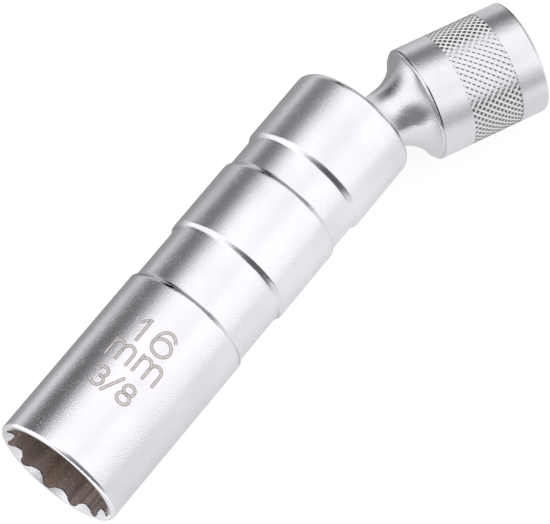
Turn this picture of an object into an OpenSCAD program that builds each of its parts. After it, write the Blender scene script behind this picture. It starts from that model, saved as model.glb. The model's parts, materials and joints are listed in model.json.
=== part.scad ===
// Spark plug socket: thin-wall barrel with a 12-point mouth and a swivelling square-drive head.
// It lies as it rests: barrel axis along X with the mouth at the origin, head to +X, Z up.

/* [Barrel] */
// Diameter of the three full bands
barrel_d = 20.5; // [20:0.1:22]
// Length from the mouth face to the joint end
barrel_l = 71.3; // [68:0.1:80]
// Depth of the two grooves below the bands
groove_depth = 0.45; // [0.2:0.05:0.7]
// Distance of the first groove from the mouth
groove_a_x = 29.75; // [24:0.05:33]
// Length of the first groove with its ends
groove_a_l = 10.25; // [6:0.05:11]
// Distance of the second groove from the mouth
groove_b_x = 52.05; // [48:0.05:53]
// Length of the second groove with its ends
groove_b_l = 6.65; // [4:0.05:7]
// Length of the soft step at each end of a groove
groove_end = 0.9; // [0.4:0.05:1.5]
// Rounding of the mouth's outer edge
mouth_edge = 0.5; // [0.2:0.05:0.6]
// Rounding of the joint end's outer edge
joint_edge = 1.2; // [0.5:0.1:1.5]

/* [Plug mouth] */
// Hexagon that the 12 points take, across flats
plug_af = 16; // [14:0.5:16]
// Clearance across the flats of that hexagon
plug_clear = 0.2; // [0.1:0.05:0.3]
// Depth of the 12 points
points_depth = 13; // [9:0.5:16]
// Radius of the round relief at each point's root
point_relief = 1.2; // [0.9:0.05:1.3]
// Turn of the points about the barrel axis
points_turn = 17; // [0:1:30]
// Width of the flat rim outside the lead-in
rim_w = 0.8; // [0.7:0.05:1.4]
// Depth of the lead-in cone
lead_depth = 0.85; // [0.4:0.05:1.5]
// Diameter of the plug bore behind the magnet
bore_d = 14.8; // [13:0.1:15.5]
// Thickness of the wall between bore and joint
web_t = 2.8; // [2:0.1:8]

/* [Plug magnet] */
// Thickness of the ring magnet
magnet_t = 5; // [3:0.5:8]
// Diameter of the hole for the plug's insulator
magnet_hole_d = 11.5; // [10.5:0.1:12.5]
// Recess of the magnet behind the 12 points
magnet_recess = 0.3; // [0.1:0.1:1]

/* [Swivel joint] */
// Distance of the ball centre below the joint end
joint_drop = 4.9; // [4.6:0.1:5.6]
// Hex ball across its curved flats
ball_af = 12.8; // [12.6:0.1:13]
// Clearance between each flat and the chamber
ball_clear = 0.5; // [0.4:0.05:0.6]
// Distance of the flat under the ball from its centre
ball_flat = 5.6; // [5.5:0.1:5.8]
// Height of the spring space under that flat
spring_gap = 5; // [4.6:0.1:6]
// Wire of the joint spring
spring_wire = 0.8; // [0.6:0.05:0.9]
// Mean radius of the joint spring
spring_r = 2.6; // [2.2:0.1:2.8]
// Turns of the joint spring
spring_turns = 3.25; // [2.25:0.25:3.25]
// Thickness of the retaining ring
ring_t = 0.8; // [0.6:0.05:1]
// Hold of the ring over the ball, as a radius
ring_hold = 0.3; // [0.2:0.05:0.4]
// Depth of the ring in its groove
ring_seat = 0.7; // [0.4:0.05:0.8]
// Running gap between ball and ring
ring_clear = 0.2; // [0.15:0.05:0.25]
// Width of the ring's opening
ring_open = 3; // [2:0.5:5]
// Radius of the flared opening at the joint end
joint_mouth_r = 8.5; // [8.4:0.05:8.6]

/* [Drive head] */
// Diameter of the head
head_d = 17.88; // [17.4:0.02:19]
// Start of the head from the ball centre
head_x = 14; // [13.8:0.05:15]
// End face of the head from the ball centre
head_end = 31.75; // [31:0.05:36]
// Radius of the neck beside the ball
neck_r = 4.1; // [3.8:0.05:4.15]
// Radius of the flare from neck to head
flare_r = 6.5; // [6:0.1:6.8]
// Rounding of the flare's lip
lip_r = 0.3; // [0.2:0.05:0.6]
// Step between the lip and the head
lip_step = 0.3; // [0.1:0.05:0.4]
// Start of the knurl behind the head's start
knurl_x = 5; // [3.5:0.05:5.5]
// Length of the knurl
knurl_l = 8.3; // [6:0.1:9]
// Teeth of the knurl round the head
knurl_teeth = 50; // [40:2:56]
// Depth of the knurl
knurl_depth = 0.16; // [0.1:0.01:0.3]
// Share of each diamond that is left flat
knurl_flat = 0.5; // [0.3:0.05:0.7]
// Rounding of the head's end
head_edge = 0.35; // [0.2:0.05:0.8]
// Side of the square drive
drive_af = 9.53; // [9.4:0.01:9.6]
// Clearance of the square hole across its flats
drive_clear = 0.1; // [0.05:0.01:0.15]
// Depth of the square hole
drive_depth = 11.2; // [9:0.1:12]
// Distance of the detent dimples from the end face
dimple_x = 5.6; // [4.5:0.1:6.5]

/* [Pose] */
// Sideways swing of the head from the barrel axis
swing = 24.2; // [0:0.1:26]

/* [Hidden] */
$fn = 96;
barrel_r = barrel_d/2;
groove_r = barrel_r - groove_depth;
rim_r = barrel_r - rim_w;
point_af = plug_af + plug_clear;
point_r = point_af/sqrt(3);
tip_r = point_af/2/cos(15) + 0.06;
seat_r = tip_r - 0.25;
magnet_x = points_depth + magnet_recess;
joint_x = barrel_l - joint_drop;
ball_r = ball_af/2/cos(30);
chamber_af = ball_af + 2*ball_clear;
chamber_floor = joint_x - ball_flat - spring_gap;
bore_depth = chamber_floor - web_t;
ring_in = ball_r - ring_hold;
ring_out = ring_in + ring_seat + 0.45;
ring_x = sqrt(pow(ball_r + ring_clear, 2) - ring_in*ring_in);
ring_side = 0.05;
entry_r = ring_out - ring_seat;
head_r = head_d/2;
knurl_from = head_x + knurl_x;
knurl_to = knurl_from + knurl_l;
knurl_core = head_r - knurl_depth - 0.25;
knurl_pitch = PI*head_d/knurl_teeth/2;
knurl_rows = 2*ceil(knurl_l/knurl_pitch/2) + 2;
drive_side = drive_af + drive_clear;

// The flare is an arc tangent to the round lip.
lip_cr = head_r - lip_step - lip_r;
lip_cx = head_x - 0.12;
flare_cr = neck_r + 0.4 + flare_r;
flare_cx = lip_cx - sqrt(pow(flare_r + lip_r, 2) - pow(flare_cr - lip_cr, 2));
flare_from = flare_cx + 0.8;
flare_from_r = flare_cr - sqrt(flare_r*flare_r - 0.64);
tangent = lip_r/(flare_r + lip_r);
tangent_r = lip_cr + tangent*(flare_cr - lip_cr);
tangent_x = lip_cx + tangent*(flare_cx - lip_cx);

// The head dips until its end rim meets the surface that the barrel lies on.
touch_l = head_end - head_edge;
touch_r = head_r - head_edge;
touch_dip = asin((barrel_r - head_edge)/norm([touch_l, touch_r])) - atan2(touch_r, touch_l);
dip = asin(sin(touch_dip)/cos(swing));
head_dir = [cos(swing)*cos(dip), -sin(swing), -cos(swing)*sin(dip)];

// Turns a part made along Z to lie along X.
module along_x() {
    rotate([0, 90, 0]) children();
}

// Half outline of one band, with rounded ends.
module band(from, to, low, high) {
    translate([0, from + low]) square([barrel_r, to - from - low - high]);
    translate([0, from]) square([barrel_r - max(low, high), to - from]);
    if (low > 0) translate([barrel_r - low, from + low]) circle(low);
    if (high > 0) translate([barrel_r - high, to - high]) circle(high);
}

// Points of a soft step from one radius to another along the axis.
function soft_step(from, to, r1, r2) =
    [for (k = [0:8]) let (u = k/8) [r1 + (r2 - r1)*u*u*(3 - 2*u), from + (to - from)*u]];

// Half outline of a groove with a soft step at each end.
module groove(from, len) {
    to = from + len;
    polygon(concat(
        [[0, from]],
        soft_step(from, from + groove_end, barrel_r, groove_r),
        soft_step(to - groove_end, to, groove_r, barrel_r),
        [[0, to]]
    ));
}

module barrel_outline() {
    band(0, groove_a_x, mouth_edge, 0);
    groove(groove_a_x, groove_a_l);
    band(groove_a_x + groove_a_l, groove_b_x, 0, 0);
    groove(groove_b_x, groove_b_l);
    band(groove_b_x + groove_b_l, barrel_l, 0, joint_edge);
}

// Twelve points: two hexagons a twelfth of a turn apart, with flat tips and round roots.
module twelve_points() {
    translate([0, 0, -1]) linear_extrude(points_depth + 1) rotate(points_turn) {
        for (turn = [0, 30])
            rotate(turn) circle(point_r, $fn = 6);
        for (i = [0:11])
            rotate(30*i) translate([point_r + 0.05 - point_relief, 0]) circle(point_relief);
        circle(tip_r);
    }
}

// Lead-in: a cone from the rim that runs past the tips of the points.
module lead_in() {
    run = 1.3;
    translate([0, 0, -0.001])
        cylinder(r1 = rim_r, r2 = rim_r - run*(rim_r - tip_r), h = run*lead_depth);
}

module socket_barrel() {
    color("silver") along_x() difference() {
        rotate_extrude() barrel_outline();
        twelve_points();
        lead_in();
        translate([0, 0, points_depth - 0.5])
            cylinder(r = seat_r, h = magnet_recess + magnet_t + 0.5);
        cylinder(d = bore_d, h = bore_depth);
        translate([0, 0, chamber_floor]) rotate(30)
            cylinder(d = chamber_af/cos(30), h = joint_x + ring_x - chamber_floor, $fn = 6);
        translate([0, 0, joint_x + ring_x - ring_side])
            cylinder(r = ring_out, h = ring_t + ring_side);
        translate([0, 0, joint_x + ring_x])
            cylinder(r = entry_r, h = ring_t + 0.01);
        translate([0, 0, joint_x + ring_x + ring_t])
            cylinder(r1 = entry_r, r2 = joint_mouth_r, h = joint_drop - ring_x - ring_t);
    }
}

module plug_magnet() {
    color("dimgray") along_x() translate([0, 0, magnet_x]) difference() {
        cylinder(r = seat_r, h = magnet_t);
        translate([0, 0, -1]) cylinder(d = magnet_hole_d, h = magnet_t + 2);
    }
}

module retaining_ring() {
    color("gray") along_x() translate([0, 0, joint_x + ring_x]) difference() {
        cylinder(r = ring_out, h = ring_t);
        translate([0, 0, -1]) cylinder(r = ring_in, h = ring_t + 2);
        translate([0, -ring_open/2, -1]) cube([2*ring_out, ring_open, ring_t + 2]);
    }
}

// Wire centre at a share of the coil, between the chamber floor and the tilted flat.
function coil_point(share) =
    let (
        a = 360*spring_turns*share,
        y = spring_r*cos(a),
        z = spring_r*sin(a),
        low = -ball_flat - spring_gap + spring_wire/2,
        rise = -ball_flat - spring_wire/2 - y*head_dir[1] - z*head_dir[2],
        high = rise/head_dir[0]
    )
    [low + share*(high - low), y, z];

module joint_spring() {
    steps = round(24*spring_turns);
    sides = 10;
    points = [
        for (i = [0:steps])
            let (c = coil_point(i/steps), a = 360*spring_turns*i/steps)
            for (j = [0:sides - 1])
                let (b = 360*j/sides, out = spring_wire/2*cos(b))
                c + [spring_wire/2*sin(b), out*cos(a), out*sin(a)]
    ];
    walls = [
        for (i = [0:steps - 1]) for (j = [0:sides - 1])
            let (k = (j + 1) % sides)
            [i*sides + j, i*sides + k, (i + 1)*sides + k, (i + 1)*sides + j]
    ];
    low_cap = [for (j = [sides - 1:-1:0]) j];
    high_cap = [for (j = [0:sides - 1]) steps*sides + j];
    color("gray") translate([joint_x, 0, 0])
        polyhedron(points, concat(walls, [low_cap, high_cap]), convexity = 6);
}

// Half outline of the neck, flare, lip and head.
module swivel_outline() {
    difference() {
        polygon([
            [0, 3],
            [neck_r, 3],
            [neck_r, flare_from - 1.9],
            [flare_from_r, flare_from],
            [tangent_r, tangent_x],
            [0, tangent_x]
        ]);
        translate([flare_cr, flare_cx]) circle(flare_r);
    }
    polygon([[0, tangent_x - 0.01], [tangent_r, tangent_x], [lip_cr, lip_cx], [0, lip_cx]]);
    translate([lip_cr, lip_cx]) circle(lip_r);
    translate([0, lip_cx]) square([lip_cr + lip_r, head_x - lip_cx + 0.1]);
    polygon([
        [0, head_x],
        [head_r - 0.06, head_x],
        [head_r, head_x + 0.06],
        [head_r, knurl_from],
        [knurl_core, knurl_from],
        [knurl_core, knurl_to],
        [head_r, knurl_to],
        [head_r, head_end - head_edge],
        [head_r - head_edge, head_end],
        [0, head_end]
    ]);
    translate([head_r - head_edge, head_end - head_edge]) circle(head_edge);
}

// One drum of the ball, lying across the head's axis, with a flat above and below.
module drum(turn) {
    rotate(turn) rotate([90, 0, 0]) linear_extrude(2*ball_af, center = true)
        intersection() {
            circle(d = ball_af);
            square([2*ball_af, 2*ball_flat], center = true);
        }
}

// Ball that tilts in the six-sided chamber: what three crossed drums share.
module hex_ball() {
    intersection() {
        drum(0);
        drum(60);
        drum(120);
    }
}

// Point of the knurl at a column and a row, half a diamond each, on a radius.
function knurl_point(col, row, r) =
    let (a = 180*col/knurl_teeth)
    [r*cos(a), r*sin(a), knurl_from + knurl_l/2 + (row - knurl_rows/2)*knurl_pitch];

// Number of the valley crossing at a column and a row.
function valley(col, row) =
    row*knurl_teeth + floor(((col + 2*knurl_teeth) % (2*knurl_teeth))/2);

// Ten faces of one diamond: the flat top from point t on and the four slopes to the valleys.
function diamond(col, row, t) =
    let (
        west = valley(col - 1, row),
        north = valley(col, row + 1),
        east = valley(col + 1, row),
        south = valley(col, row - 1)
    )
    [
        [t, t + 1, t + 2], [t, t + 2, t + 3],
        [t + 1, north, east], [t + 1, east, t + 2],
        [t + 2, east, south], [t + 2, south, t + 3],
        [t + 3, south, west], [t + 3, west, t],
        [t, west, north], [t, north, t + 1]
    ];

// Diamond knurl: a ring of flat-topped diamonds whose end rows run under the plain bands.
module knurl() {
    last = knurl_teeth - 1;
    tip = head_r - 0.03;
    corner = tip/cos(180*knurl_flat/knurl_teeth);
    valleys = [
        for (k = [0:knurl_rows]) for (m = [0:last])
            knurl_point(2*m + k % 2, k, tip - knurl_depth)
    ];
    tops = [
        for (k = [1:knurl_rows - 1]) for (m = [0:last])
            let (i = 2*m + (k + 1) % 2)
            each [
                knurl_point(i - knurl_flat, k, corner),
                knurl_point(i, k + knurl_flat, tip),
                knurl_point(i + knurl_flat, k, corner),
                knurl_point(i, k - knurl_flat, tip)
            ]
    ];
    inner = [
        for (k = [0, knurl_rows]) for (m = [0:last])
            knurl_point(2*m, k, knurl_core - 0.4)
    ];
    top = len(valleys);
    low = top + len(tops);
    high = low + knurl_teeth;
    skin = [
        for (k = [1:knurl_rows - 1]) for (m = [0:last])
            each diamond(2*m + (k + 1) % 2, k, top + 4*((k - 1)*knurl_teeth + m))
    ];
    ends = [
        for (m = [0:last])
            let (n = (m + 1) % knurl_teeth, a = valley(2*m, knurl_rows), b = valley(2*n, knurl_rows))
            each [
                [m, valley(2*m + 1, 1), n],
                [a, b, valley(2*m + 1, knurl_rows - 1)],
                [low + m, m, n], [low + m, n, low + n],
                [a, high + m, high + n], [a, high + n, b],
                [high + m, low + m, low + n], [high + m, low + n, high + n]
            ]
    ];
    polyhedron(concat(valleys, tops, inner), concat(skin, ends), convexity = 4);
}

module square_drive() {
    translate([0, 0, head_end]) {
        translate([-drive_side/2, -drive_side/2, -drive_depth])
            cube([drive_side, drive_side, drive_depth + 1]);
        translate([0, 0, -drive_depth - 1.2]) cylinder(d = drive_side - 0.1, h = drive_depth);
        translate([0, 0, -2]) cylinder(r1 = drive_side/2 - 0.1, r2 = drive_side/2 + 1.9, h = 2.001);
        for (turn = [0:90:270])
            rotate(turn) translate([drive_side/2 - 1, 0, -dimple_x]) sphere(1.9);
    }
}

module drive_swivel() {
    color("silver") translate([joint_x, 0, 0])
        rotate([0, dip, 0]) rotate([0, 0, -swing]) along_x() {
            difference() {
                union() {
                    rotate_extrude() swivel_outline();
                    hex_ball();
                    knurl();
                }
                square_drive();
            }
        }
}

socket_barrel();
plug_magnet();
retaining_ring();
joint_spring();
drive_swivel();
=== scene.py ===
# %% [markdown]
# # Spark plug socket, lying on a white table
#
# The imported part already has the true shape: a turned barrel with two grooves and a 12-point mouth,
# and a knurled head on a ball joint. This script gives it the looks of the photograph: pearl chrome
# outside, raw broached steel inside, a burnt-in size mark, and the soft light of a studio.

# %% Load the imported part
import json
from math import radians

import bpy
import numpy as np
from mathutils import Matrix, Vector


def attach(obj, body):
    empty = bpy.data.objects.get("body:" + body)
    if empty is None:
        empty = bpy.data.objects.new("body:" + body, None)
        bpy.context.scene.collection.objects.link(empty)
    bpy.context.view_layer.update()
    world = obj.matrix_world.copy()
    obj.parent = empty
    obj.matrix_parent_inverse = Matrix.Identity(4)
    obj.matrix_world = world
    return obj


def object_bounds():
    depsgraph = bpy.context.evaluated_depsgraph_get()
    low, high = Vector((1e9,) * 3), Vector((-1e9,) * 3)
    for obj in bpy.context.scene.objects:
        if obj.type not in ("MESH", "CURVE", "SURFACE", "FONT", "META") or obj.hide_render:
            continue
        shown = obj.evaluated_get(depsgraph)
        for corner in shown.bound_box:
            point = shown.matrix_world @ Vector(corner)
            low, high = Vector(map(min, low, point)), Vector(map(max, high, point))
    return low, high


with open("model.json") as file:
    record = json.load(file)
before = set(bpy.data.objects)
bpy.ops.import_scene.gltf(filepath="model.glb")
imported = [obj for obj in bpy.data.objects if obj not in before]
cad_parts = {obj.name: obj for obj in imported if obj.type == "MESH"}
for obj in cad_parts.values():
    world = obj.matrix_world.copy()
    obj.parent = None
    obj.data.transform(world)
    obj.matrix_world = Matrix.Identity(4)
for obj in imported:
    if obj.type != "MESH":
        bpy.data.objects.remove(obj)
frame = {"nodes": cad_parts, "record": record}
cad_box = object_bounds()
nodes = frame["nodes"]
MM = 0.001
print("nodes:", ", ".join(sorted(nodes)))

# %% [markdown]
# ## Shader arithmetic
#
# A material reads better as formulas than as wiring. This class wraps one output socket, and each
# operator adds one Math node. Every other node comes from its method `add`.


# %% Socket class
class Sock:
    """An output socket of a node tree, with operators that add Math nodes."""

    def __init__(self, tree, output=None):
        self.tree, self.output = tree, output

    def add(self, kind, out=0, inputs=None, **settings):
        """Adds a node, sets its options and inputs, and wraps one of its outputs."""
        node = self.tree.nodes.new("ShaderNode" + kind)
        for name, value in settings.items():
            setattr(node, name, value)
        for key, value in (inputs or {}).items():
            if isinstance(value, Sock):
                self.tree.links.new(value.output, node.inputs[key])
            else:
                node.inputs[key].default_value = value
        return Sock(self.tree, node.outputs[out])

    def math(self, operation, *others):
        """A Math node with this as its first input."""
        return self.add("Math", inputs=dict(enumerate((self, *others))), operation=operation)

    def __add__(self, other):
        return self.math("ADD", other)

    def __sub__(self, other):
        return self.math("SUBTRACT", other)

    def __mul__(self, other):
        return self.math("MULTIPLY", other)

    def __truediv__(self, other):
        return self.math("DIVIDE", other)

    def __lt__(self, other):
        return self.math("LESS_THAN", other)

    def __gt__(self, other):
        return self.math("GREATER_THAN", other)

    def __rsub__(self, other):
        return self * -1 + other

    __radd__ = __add__
    __rmul__ = __mul__

    def hypot(self, other):
        """Length of a vector with these two parts: the root of the sum of their squares."""
        return (self * self + other * other).math("SQRT")

    def angle(self, ahead):
        """Degrees by which a vector turns from the part `ahead` towards this part."""
        return self.math("ARCTAN2", ahead).math("DEGREES")

    def step(self, start, end):
        """0 at start and 1 at end, on a smooth S between them. Start may be above end."""
        return self.add("MapRange", interpolation_type="SMOOTHSTEP",
                        inputs={"Value": self, "From Min": start, "From Max": end})

    def window(self, opens, opened, closes, closed):
        """1 from opened to closes, 0 before opens and after closed, and a smooth S between."""
        return self.step(opens, opened) * self.step(closed, closes)

    def near(self, centre, full, none):
        """1 within the distance `full` of the centre, and 0 from the distance `none` on."""
        return (self - centre).math("ABSOLUTE").step(none, full)

    def xyz(self):
        return [self.add("SeparateXYZ", out, {0: self}) for out in range(3)]

    def dot(self, vector):
        return self.add("VectorMath", "Value", {0: self, 1: tuple(vector)}, operation="DOT_PRODUCT")

    def mix(self, colour_a, colour_b):
        """Colour a where this is 0, and colour b where it is 1."""
        return self.add("Mix", 2, {0: self, 6: colour_a, 7: colour_b}, data_type="RGBA")

    def noise(self, scale, detail=2.0, stretch=(1, 1, 1)):
        """Noise from 0 to 1 over this vector, with `scale` cells a metre and finer along `stretch`."""
        place = self.add("Mapping", 0, {"Vector": self, "Scale": stretch})
        return self.add("TexNoise", 0, {"Vector": place, "Scale": scale, "Detail": detail})

    def bump(self, strength, distance):
        """A bumped normal from this height."""
        return self.add("Bump", 0, {"Strength": strength, "Distance": distance, "Height": self})


def new_material(name):
    """An empty node material, with its shader and a wrapped socket of object coordinates."""
    material = bpy.data.materials.new(name)
    material.use_nodes = True
    tree = material.node_tree
    return material, tree.nodes["Principled BSDF"], Sock(tree).add("TexCoord", "Object")


def feed(shader, inputs):
    """Sets plain values on the shader's inputs and links wrapped sockets to them."""
    for name, value in inputs.items():
        if isinstance(value, Sock):
            value.tree.links.new(value.output, shader.inputs[name])
        else:
            shader.inputs[name].default_value = value


# %% [markdown]
# ## Pearl chrome and raw steel
#
# The outside is blasted with fine beads and then chrome plated. The beads leave tiny dents, which blur
# reflections and give the edge of each dark band a grain, and here and there a frosted speck. Plating
# hardly reaches inside the mouth, so the walls there are raw steel: brown-grey, with bright specks, rust
# and streaks along the broach's way. The joint and the knurl's grooves are matt, because nothing polishes
# them. Near-black lines in corners, on edges and on the knurl are painted shade.
#
# One material could be made for each of these, but then faces would have to be chosen by hand. Here they
# are all one material with masks from 0 to 1, worked out from the place of each point.

# %% Plated steel
BARREL_CHROME = (0.80, 0.782, 0.826, 1), (0.75, 0.735, 0.775, 1)
HEAD_CHROME = (0.75, 0.735, 0.775, 1), (0.71, 0.695, 0.733, 1)
RAW = (0.37, 0.30, 0.272, 1)
RAW_WORN = (0.86, 0.75, 0.70, 1)
RAW_RUST = (0.50, 0.335, 0.235, 1)
MATT = (0.94, 0.93, 0.95, 1)
# Near black: painted shade for dark lines and dashes on the chrome.
PAINTED_SHADE = (0.02, 0.02, 0.02, 1)

# Cells a metre of each noise.
CLOUD, STREAK, SPECK, RUST = 130, 900, 3600, 260
GRAIN, FROST, FROST_PATCH = 4600, 4200, 420
ALONG_BROACH, ALONG_RUST = (0.06, 1, 1), (0.4, 1, 1)

RUST_SHARE, FROST_SHARE = 0.7, 0.36
GLOSS, CLOUDED, DULLED = 0.2, 0.05, 0.2
DENT_HEIGHT = 0.033 * MM


def plated(name, tones, look):
    """Chrome outside and raw steel inside. Each step cuts a noise to a mask.

    `look` takes the place and returns four values: inside, painted shade and matt, each from 0 to 1, and a
    relief in metres."""
    material, shader, place = new_material(name)
    inside, painted_shade, matt, relief = look(place)
    cloud = place.noise(CLOUD, 3).step(0.3, 0.75)
    streak = place.noise(STREAK, 3, ALONG_BROACH).step(0.42, 0.72)
    speck = place.noise(SPECK, 2).step(0.54, 0.7)
    rust = place.noise(RUST, 2, ALONG_RUST).step(0.52, 0.7) * RUST_SHARE
    frost = place.noise(FROST, 1).step(0.6, 0.7) * place.noise(FROST_PATCH, 2).step(0.42, 0.62)
    matt = matt.math("MAXIMUM", frost * FROST_SHARE * (1 - inside))
    raw = rust.mix((streak * 0.5 + speck * 0.6).mix(RAW, RAW_WORN), RAW_RUST)
    chrome = matt.mix(cloud.mix(*tones), MATT)
    dents = place.noise(GRAIN, 1) * 0.9 + (streak + speck * 2) * inside
    feed(shader, {
        "Metallic": 1 - inside * 0.5 - matt * 0.75,
        # Painted shade darkens the colour towards near black.
        "Base Color": painted_shade.mix(inside.mix(chrome, raw), PAINTED_SHADE),
        "Roughness": (inside + matt) * DULLED + (cloud * CLOUDED + GLOSS),
        "Normal": (dents * DENT_HEIGHT + relief).bump(1, 1),
    })
    print(name, "has", len(material.node_tree.nodes), "nodes")
    return material


# %% [markdown]
# ## The barrel's masks
#
# The barrel's axis is X, with the mouth at the origin, so the distance from the axis and the place along
# it tell its surfaces apart. Raw steel starts behind the lead-in cone and ends where the joint's matt
# chamber opens. Painted shade lies at the rim, where the 12 points start, and on the shoulders of the
# grooves. Each line of it covers an arc, in degrees from the top towards -Y: where it starts, is full,
# fades and ends.
#
# The shoulders that the photograph shows are softer than the solid's and stand up to half a millimetre
# off. The relief takes the solid's steps away and puts the soft ones in, in the shading alone.

# %% Barrel
RIM_R, LEAD_SLOPE = 9.45 * MM, 0.85
WALL_R, CHAMBER_R, SKIN_R = 9.5 * MM, 8.9 * MM, 9.6 * MM
BORE_END, CHAMBER_START, POINTS_START = 55 * MM, 58 * MM, 3 * MM
GROOVES = (29.75 * MM, 40.0 * MM), (52.05 * MM, 58.7 * MM)
GROOVE_STEP, GROOVE_DEPTH = 0.9 * MM, 0.45 * MM
SHOULDERS = (29.82 * MM, 39.97 * MM), (52.42 * MM, 58.14 * MM)
FALL_HALF, RISE_HALF = 0.6 * MM, 0.52 * MM

# How dark each line of painted shade is, and its arc: where it starts, is full, fades and ends.
FALL_ARC, FALL_SHADE = (-16, -8, 4, 26), 0.3
RISE_ARC, RISE_SHADE = (6, 26, 42, 68), 0.5
INNER_ARC, INNER_SHADE = (-62, -48, 92, 104), 0.8
OUTER_ARC, OUTER_SHADE = (6, 16, 46, 64), 0.7
LOWER_SHADE, POINT_SHADE = 0.25, 0.6


def mouth_painted_shade(x, radius, turn, depth):
    """Painted shade: a ring at the rim's inner edge, a line on its outer rounding, a patch on its lower
    half, and a line where the 12 points start below the cone."""
    inner = (x < 0.05 * MM) * (radius > 9.3 * MM) * radius.step(9.78 * MM, 9.68 * MM)
    outer = x.near(0.45 * MM, 0.1 * MM, 0.2 * MM) * (radius > 10 * MM)
    # Painted shade on the lower half of the rim.
    lower_half = (x < 0.3 * MM) * (radius > 9.78 * MM) * (turn.step(46, 60) + turn.step(-110, -130))
    points = depth.window(0.01 * MM, 0.06 * MM, 0.16 * MM, 0.3 * MM)
    points = points * (radius < WALL_R) * (x < POINTS_START)
    lines = inner * turn.window(*INNER_ARC) * INNER_SHADE + outer * turn.window(*OUTER_ARC) * OUTER_SHADE
    return lines + lower_half * LOWER_SHADE + points * POINT_SHADE


def barrel_look(place):
    """Masks of the barrel. Its depth is how far a point lies behind the lead-in cone."""
    x, y, z = place.xyz()
    radius, turn = y.hypot(z), (y * -1).angle(z)
    depth = x + (radius - RIM_R) * LEAD_SLOPE
    inside = depth.step(0.05 * MM, 0.25 * MM) * (radius < WALL_R) * x.step(CHAMBER_START, BORE_END)
    matt = (radius < CHAMBER_R) * x.step(BORE_END, CHAMBER_START)
    relief, falls, rises = 0, 0, 0
    for (start, end), (fall, rise) in zip(GROOVES, SHOULDERS):
        solid = x.step(start, start + GROOVE_STEP) - x.step(end - GROOVE_STEP, end)
        soft = x.step(fall - FALL_HALF, fall + FALL_HALF) - x.step(rise - RISE_HALF, rise + RISE_HALF)
        relief = relief + solid - soft
        falls = falls + x.near(fall, 0.26 * MM, 0.36 * MM)
        rises = rises + x.near(rise, 0.36 * MM, 0.46 * MM)
    # Painted shade on the shoulders of the grooves, each within its arc.
    shoulders = falls * turn.window(*FALL_ARC) * FALL_SHADE + rises * turn.window(*RISE_ARC) * RISE_SHADE
    outside = radius > SKIN_R
    painted_shade = shoulders * outside + mouth_painted_shade(x, radius, turn, depth)
    return inside, painted_shade, matt, relief * outside * GROOVE_DEPTH


barrel_chrome = plated("pearl_chrome_barrel", BARREL_CHROME, barrel_look)

# %% [markdown]
# ## The head's masks
#
# The head has an axis of its own, from the ball's centre to its end face, and the record's mount for the
# square drive says where that points. Raw steel is in the square hole.
#
# The knurl's diamonds are solid, but its grooves are only a pixel wide in the camera's view, so their tone
# needs help: they are matt and bright. Two numbers count half-teeth round the head and along it. Their
# sum and their difference then count the grooves of the two crossing ways. A dash of painted shade lies in
# one way's grooves on the upper side, and the diamonds' tops are painted darker at both sides, as shade.
#
# The relief shades the upper part of the knurl's groove walls as flat, so that the diamonds' tops look
# wider, and it bends the flare before the lip a little more.

# %% Head axis
JOINT = np.array((66.4 * MM, 0, 0))
drive = next(m for m in frame["record"]["mounts"] if m["name"] == "drive_square")
HEAD_DIR = np.array(drive["axis"])
HEAD_SIDE = np.cross(HEAD_DIR, (0, 0, 1))
HEAD_SIDE /= np.linalg.norm(HEAD_SIDE)
HEAD_UP = np.cross(HEAD_SIDE, HEAD_DIR)
print("head axis:", HEAD_DIR.round(3))


def head_place(place):
    """Along the head's axis from the ball's centre, distance from it, and degrees from its top to -Y."""
    along, side, up = (place.dot(way) - float(JOINT @ way) for way in (HEAD_DIR, HEAD_SIDE, HEAD_UP))
    return along, side.hypot(up), side.angle(up)


# %% Head
HOLE_R, HOLE_FLOOR, HEAD_END = 6.9 * MM, 18.5 * MM, 31.75 * MM
OUTER_R, LIP_STEP = 8 * MM, 14.0 * MM
NECK_MATT, NECK_BRIGHT = 7 * MM, 9 * MM
KNURL_FROM, KNURL_TO, KNURL_TOP = 19.0 * MM, 27.3 * MM, 8.91 * MM
KNURL_TEETH, KNURL_PHASE, KNURL_DEEPEST = 50, 0.7, 0.065 * MM
FLARE_FROM, FLARE_SPAN, FLARE_BEND = 10.5 * MM, 3 * MM, 63

# How dark each painted shade on the head is, and its arc.
DASH_ARC, DASH_SHADE = (-16, 0, 46, 58), 0.75
NEAR_TOPS_SHADE, FAR_TOPS_SHADE = 0.8, 0.65
LIP_ARC, LIP_SHADE = (6, 16, 50, 62), 0.95
FAR_LIP_ARC, FAR_LIP_SHARE = (-50, -42, -24, -14), 0.6
END_ARC, END_SHADE = (-75, -45, 10, 45), 0.55


def knurl_painted_shade(along, turn):
    """Painted shade: dashes in one way's grooves and dark tops. The phase is in half-teeth from the head's
    top.

    `across` and `ahead` are 0 in the middle of a groove of their way, and 0.5 half-way to the next."""
    col = turn * (KNURL_TEETH / 180) - KNURL_PHASE
    row = (along - (KNURL_FROM + KNURL_TO) / 2) * float(KNURL_TEETH / np.pi / KNURL_TOP)
    across, ahead = (((col + way * row) / 2).math("PINGPONG", 0.5) for way in (-1, 1))
    dash = across.step(0.17, 0.1) * ahead.step(0.12, 0.28)
    top = across.step(0.16, 0.26) * ahead.step(0.16, 0.26)
    # Painted shade: the tops darker towards both sides.
    dark_sides = turn.step(40, 52) * NEAR_TOPS_SHADE + turn.step(-8, -18) * FAR_TOPS_SHADE
    return dash * turn.window(*DASH_ARC) * DASH_SHADE + top * dark_sides


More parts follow.
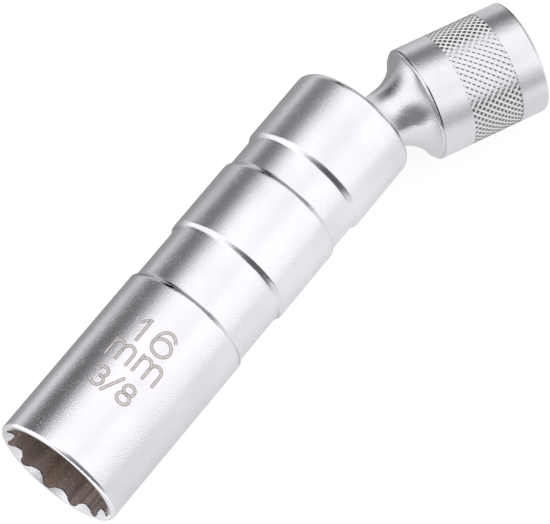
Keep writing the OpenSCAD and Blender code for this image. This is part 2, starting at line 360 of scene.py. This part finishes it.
def head_look(place):
    """Masks of the head, with a line of painted shade at the lip's step and one where the end's rounding
    starts.
    """
    along, radius, turn = head_place(place)
    inside = (radius < HOLE_R) * (along > HOLE_FLOOR) * (along < HEAD_END - 0.15 * MM)
    outside = radius > OUTER_R
    knurl = (along > KNURL_FROM) * (along < KNURL_TO) * outside
    depth = KNURL_TOP - radius
    matt = along.step(NECK_BRIGHT, NECK_MATT) + knurl * depth.step(0.05 * MM, 0.085 * MM)
    flare = (along - FLARE_FROM).math("MAXIMUM", 0).math("MINIMUM", FLARE_SPAN)
    relief = knurl * depth.math("MINIMUM", KNURL_DEEPEST) - flare * flare * FLARE_BEND
    # A line of painted shade at the lip's step, in two arcs.
    lip = along.step(LIP_STEP - 0.05 * MM, LIP_STEP - 0.01 * MM) * (along < LIP_STEP + 0.07 * MM)
    lip = lip * (turn.window(*LIP_ARC) + turn.window(*FAR_LIP_ARC) * FAR_LIP_SHARE)
    # A line of painted shade where the end's rounding starts.
    end = along.step(HEAD_END - 0.5 * MM, HEAD_END - 0.4 * MM) * (along < HEAD_END - 0.28 * MM)
    end = end * turn.window(*END_ARC)
    lines = (lip * LIP_SHADE + end * END_SHADE) * outside
    return inside, knurl * knurl_painted_shade(along, turn) + lines, matt, relief


head_chrome = plated("pearl_chrome_head", HEAD_CHROME, head_look)

# %% [markdown]
# ## Magnet, ring and spring
#
# The ring magnet behind the 12 points has a dull nickel skin. The retaining ring and the joint's spring
# are drawn wire, brighter along the way it was drawn. All three sit deep inside and show only at angles
# that look into the mouth or the joint.


# %% Small steel pieces
def steel(name, dark, bright, roughness, cells, stretch):
    """Bare metal whose tone and roughness follow one noise."""
    material, shader, place = new_material(name)
    tone = place.noise(cells, 3, stretch).step(0.3, 0.7)
    feed(shader, {
        "Metallic": 1.0,
        "Base Color": tone.mix(dark, bright),
        "Roughness": tone * 0.12 + roughness,
        "Normal": tone.bump(0.15, 0.04 * MM),
    })
    return material


magnet_nickel = steel("dull_nickel", dark=(0.30, 0.29, 0.28, 1), bright=(0.46, 0.45, 0.43, 1),
                      roughness=0.34, cells=1500, stretch=(1, 1, 1))
spring_steel = steel("drawn_steel", dark=(0.26, 0.26, 0.27, 1), bright=(0.44, 0.44, 0.45, 1),
                     roughness=0.26, cells=1200, stretch=(1, 0.2, 0.2))
finishes = {
    "socket_barrel": barrel_chrome,
    "drive_swivel": head_chrome,
    "plug_magnet": magnet_nickel,
    "retaining_ring": spring_steel,
    "joint_spring": spring_steel,
}
for name, material in finishes.items():
    nodes[name].data.materials.clear()
    nodes[name].data.materials.append(material)
    print(name, "->", material.name)

# %% [markdown]
# ## Size mark
#
# Sockets carry their size on the barrel, burnt in by a laser: thin strokes of one width, matt and
# brownish, flush with the chrome. Here the mark holds plain numbers: the plug's hexagon in millimetres
# and, below it, the drive square in inches.
#
# Each stroke is a thin ribbon swept along a path of lines and arcs. The path is drawn flat, in
# millimetres, with u round the barrel and v along it. Then it is rolled onto the cylinder. A picture
# wrapped round the barrel would do too, but strokes stay sharp at any distance.

# %% Strokes
BARREL_R = 10.25 * MM
STROKE = 0.5
PROUD, SUNK = 0.008, -0.05
LEAST_HALF = 0.004
CAP_STATIONS = 4


def line(*points):
    """A path through these points, with each leg cut into short steps."""
    legs = [np.linspace(a, b, 8, endpoint=False) for a, b in zip(points[:-1], points[1:])]
    return np.vstack(legs + [np.array(points[-1:], float)])


def arc(centre, radius_u, radius_v, start, end):
    """A path along an ellipse, from one angle to another, in degrees from u towards v."""
    angle = np.radians(np.linspace(start, end, 2 + int(abs(end - start) / 8)))
    return np.column_stack((centre[0] + radius_u * np.cos(angle), centre[1] + radius_v * np.sin(angle)))


def ribbon(path, width):
    """A closed flat ribbon along a path: edges half a width to each side, narrowing to round ends.

    Returns points (u, v, height), five to a station, and the faces between them. The second of the five
    is the ribbon's middle."""
    way = np.gradient(path, axis=0)
    way /= np.linalg.norm(way, axis=1)[:, None]
    turn = np.linspace(0, np.pi / 2, CAP_STATIONS + 1)[1:]
    ends = np.sin(turn)[:, None] * width / 2
    straight = np.ones(len(path))
    path = np.vstack((path[0] - way[0] * ends[::-1], path, path[-1] + way[-1] * ends))
    way = np.vstack((np.repeat(way[:1], CAP_STATIONS, 0), way, np.repeat(way[-1:], CAP_STATIONS, 0)))
    half = np.concatenate((np.cos(turn)[::-1], straight, np.cos(turn))) * width / 2 + LEAST_HALF
    side = np.column_stack((-way[:, 1], way[:, 0])) * half[:, None]
    flat = np.stack((path + side, path, path - side, path - side, path + side), 1)
    height = np.broadcast_to((PROUD, PROUD, PROUD, SUNK, SUNK), flat.shape[:2])
    points = np.concatenate((flat, height[..., None]), 2).reshape(-1, 3)
    ring = np.arange(5)
    following = (ring + 1) % 5
    corners = np.column_stack((ring, following, following + 5, ring + 5))
    walls = (5 * np.arange(len(path) - 1)[:, None, None] + corners).reshape(-1, 4)
    return points, [*walls.tolist(), ring[::-1].tolist(), (ring + len(points) - 5).tolist()]


def roll(points):
    """Rolls (u, v, height) in millimetres onto the barrel: u turns from the top towards -Y, v is X."""
    angle = points[:, 0] * MM / BARREL_R
    radius = BARREL_R + points[:, 2] * MM
    return np.column_stack((points[:, 1] * MM, -radius * np.sin(angle), radius * np.cos(angle)))


# %% [markdown]
# The digits stand on three base lines. A letter m is three legs joined by two arches.


# %% The mark's paths
def letter_m(left, base, leg, height):
    """Strokes of a small m: legs at three places and an arch between each two."""
    bow = leg / 2
    top = base + height - bow
    strokes = [line((left, base), (left, base + height))]
    for start in (left, left + leg):
        arch = arc((start + bow, top), bow, bow, 180, 0)
        down = line((start + leg, top), (start + leg, base))
        strokes.append(np.vstack((arch, down[1:])))
    return strokes


one = line((-2.05, 22.75), (-0.85, 23.85), (-0.85, 20.0))
six = np.vstack((arc((2.75, 22.0), 1.5, 1.85, 40, 180), arc((2.75, 21.3), 1.5, 1.3, 180, 540)))
millimetres = [*letter_m(-3.35, 16.05, 1.85, 2.8), *letter_m(1.55, 16.05, 1.85, 2.8)]
three = np.vstack((arc((-1.65, 13.4), 0.85, 0.75, 150, -90), arc((-1.65, 11.95), 1.0, 0.8, 90, -150)))
slash = line((-0.2, 11.0), (1.5, 14.3))
eight = np.vstack((arc((3.15, 13.4), 0.85, 0.75, -90, 270), arc((3.15, 11.95), 1.0, 0.8, 90, -270)))
mark = [one, six, *millimetres, three, slash, eight]
print("mark:", len(mark), "strokes")

# %% [markdown]
# All strokes make one piece. An attribute says how far a point is from its stroke's middle, because the
# laser burns the edges of a stroke darker.

# %% The mark as one piece
mesh = bpy.data.meshes.new("size_mark")
mark_points, mark_faces = np.empty((0, 3)), []
for path in mark:
    points, faces = ribbon(path, STROKE)
    mark_faces += [[corner + len(mark_points) for corner in face] for face in faces]
    mark_points = np.vstack((mark_points, roll(points)))
mesh.from_pydata(mark_points.tolist(), [], mark_faces)
edge = np.tile((1.0, 0.0, 1.0, 1.0, 1.0), len(mark_points) // 5)
mesh.attributes.new("edge", "FLOAT", "POINT").data.foreach_set("value", edge)
size_mark = bpy.data.objects.new("size_mark", mesh)
bpy.context.scene.collection.objects.link(size_mark)

BURNT, BURNT_PALE = (0.58, 0.53, 0.52, 1), (0.77, 0.72, 0.715, 1)
BURNT_EDGE = (0.27, 0.22, 0.21, 1)
burnt, shader, place = new_material("laser_mark")
speck = place.noise(4000, 2).step(0.3, 0.7)
rim = place.add("Attribute", "Fac", attribute_name="edge").step(0.3, 0.95)
feed(shader, {
    "Metallic": 0.35,
    "Base Color": rim.mix(speck.mix(BURNT, BURNT_PALE), BURNT_EDGE),
    "Roughness": speck * 0.15 + 0.5,
})
mesh.materials.append(burnt)
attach(size_mark, "barrel")
print("mark:", len(mark_points), "points,", len(mark_faces), "faces")

# %% [markdown]
# ## Camera
#
# The photographer stood off to the mouth's side and looked down steeply, through a long lens: the
# barrel's two edges are almost parallel. The place comes from fitting those edges.

# %% Camera
AZIMUTH, ELEVATION = radians(-52.83), radians(65.2)
lens = bpy.data.cameras.new("camera")
lens.sensor_fit = "HORIZONTAL"
lens.sensor_width = 36
lens.lens = 239.8
camera = bpy.data.objects.new("camera", lens)
camera.location = (-0.13406, -0.14075, 0.48745)
camera.rotation_euler = (radians(90) - ELEVATION, 0, AZIMUTH)
bpy.context.scene.collection.objects.link(camera)
bpy.context.scene.camera = camera
print("camera at", [round(value, 3) for value in camera.location])

# %% [markdown]
# ## Table
#
# A chrome part looks like the room around it, and its lower half mirrors the table. To the camera the
# table is white. To the part it has pale patches on both sides, behind the head and in front of the
# mouth, with dimmer ground between them where the part shades it. Lamps could make these patches, but a
# formula over the table keeps their edges in hand and leaves no noise.

# %% Table
SEEN_GLOW, GROUND_GLOW = 0.85, 0.13
bpy.ops.mesh.primitive_plane_add(size=3)
table = bpy.context.object
table.name = "table"
table.location.z = cad_box[0].z
white, shader, place = new_material("white_table")
seen = place.add("LightPath", "Is Camera Ray")
x, y, _ = place.xyz()
right = y.step(12 * MM, -12 * MM) * (1 - y.step(-24 * MM, -10 * MM) * 0.2)
right = right * (x.step(0, 60 * MM) * 0.12 + 0.52)
right = right - x.step(70 * MM, 90 * MM) * y.window(-70 * MM, -40 * MM, -20 * MM, 0) * 0.14
right = right - x.step(120 * MM, 60 * MM) * y.step(-80 * MM, -200 * MM) * 0.3
left = y.step(30 * MM, 70 * MM) * (x.step(100 * MM, 20 * MM) * 0.44 + 0.1)
back = y.step(-10 * MM, 10 * MM) * x.step(85 * MM, 110 * MM) * 0.36
front = x.step(4 * MM, -4 * MM) * 0.45 + x.step(-10 * MM, -30 * MM) * 0.4
glow = seen * SEEN_GLOW + (right + left + back + front + GROUND_GLOW) * (1 - seen)
feed(shader, {
    "Base Color": (0.25, 0.25, 0.25, 1),
    "Roughness": 0.9,
    "Specular IOR Level": 0.0,
    "Emission Color": glow,
    "Emission Strength": 1.0,
})
table.data.materials.append(white)
print("table at z =", round(table.location.z, 5))

# %% [markdown]
# ## Light tent
#
# The tent is white above and at both sides, with a dark gap behind the part and another in front, where
# the photographer stands. The gap behind draws the dark band along the barrel. The one in front darkens
# the shoulders of the grooves that face it, and the neck. A dark strip low at the back right, a dim
# corner and a faint seam in the cloth shade the head and the barrel's right side. The background itself
# is white to the camera.
#
# Turn is the angle round the part, in degrees from straight behind it towards the camera's right, and
# height is the angle above the table.

# %% Light tent
TENT_WHITE, DARK_BEHIND, DARK_HORIZON, DARK_BEFORE = 1.29, 1.2, 1.1, 1.04
DIM_CORNER, DIM_SEAM = 0.7, 0.16
world = bpy.data.worlds.new("light_tent")
bpy.context.scene.world = world
world.use_nodes = True
ray = Sock(world.node_tree).add("TexCoord", "Generated")
to_right = ray.dot((np.cos(AZIMUTH), np.sin(AZIMUTH), 0))
to_back = ray.dot((-np.sin(AZIMUTH), np.cos(AZIMUTH), 0))
height = ray.dot((0, 0, 1)).math("ARCSINE").math("DEGREES")
turn = to_right.angle(to_back)
behind = turn.window(-76, -50, 0, 18) * height.step(62, 30) * (height.step(2, 14) * 0.18 + 0.82)
behind = behind * (1 - turn.step(-40, -24) * 0.18)
horizon = turn.window(-10, 10, 60, 80) * height.step(28, 12)
before = (turn.step(136, 152) + turn.step(-122, -144)) * height.step(76, 44)
corner = turn.step(106, 125) * height.step(46, 6) * (1 - before)
seam = turn.window(20, 60, 110, 150) * height.window(48, 57, 62, 72)
tent = TENT_WHITE - behind * DARK_BEHIND - horizon * DARK_HORIZON - before * DARK_BEFORE
tent = tent - corner * DIM_CORNER - seam * DIM_SEAM
seen = ray.add("LightPath", "Is Camera Ray")
feed(world.node_tree.nodes["Background"], {"Color": (1, 1, 1, 1), "Strength": tent * (1 - seen) + seen})
bpy.context.scene.view_settings.view_transform = "Standard"
print("light tent has", len(world.node_tree.nodes), "nodes")
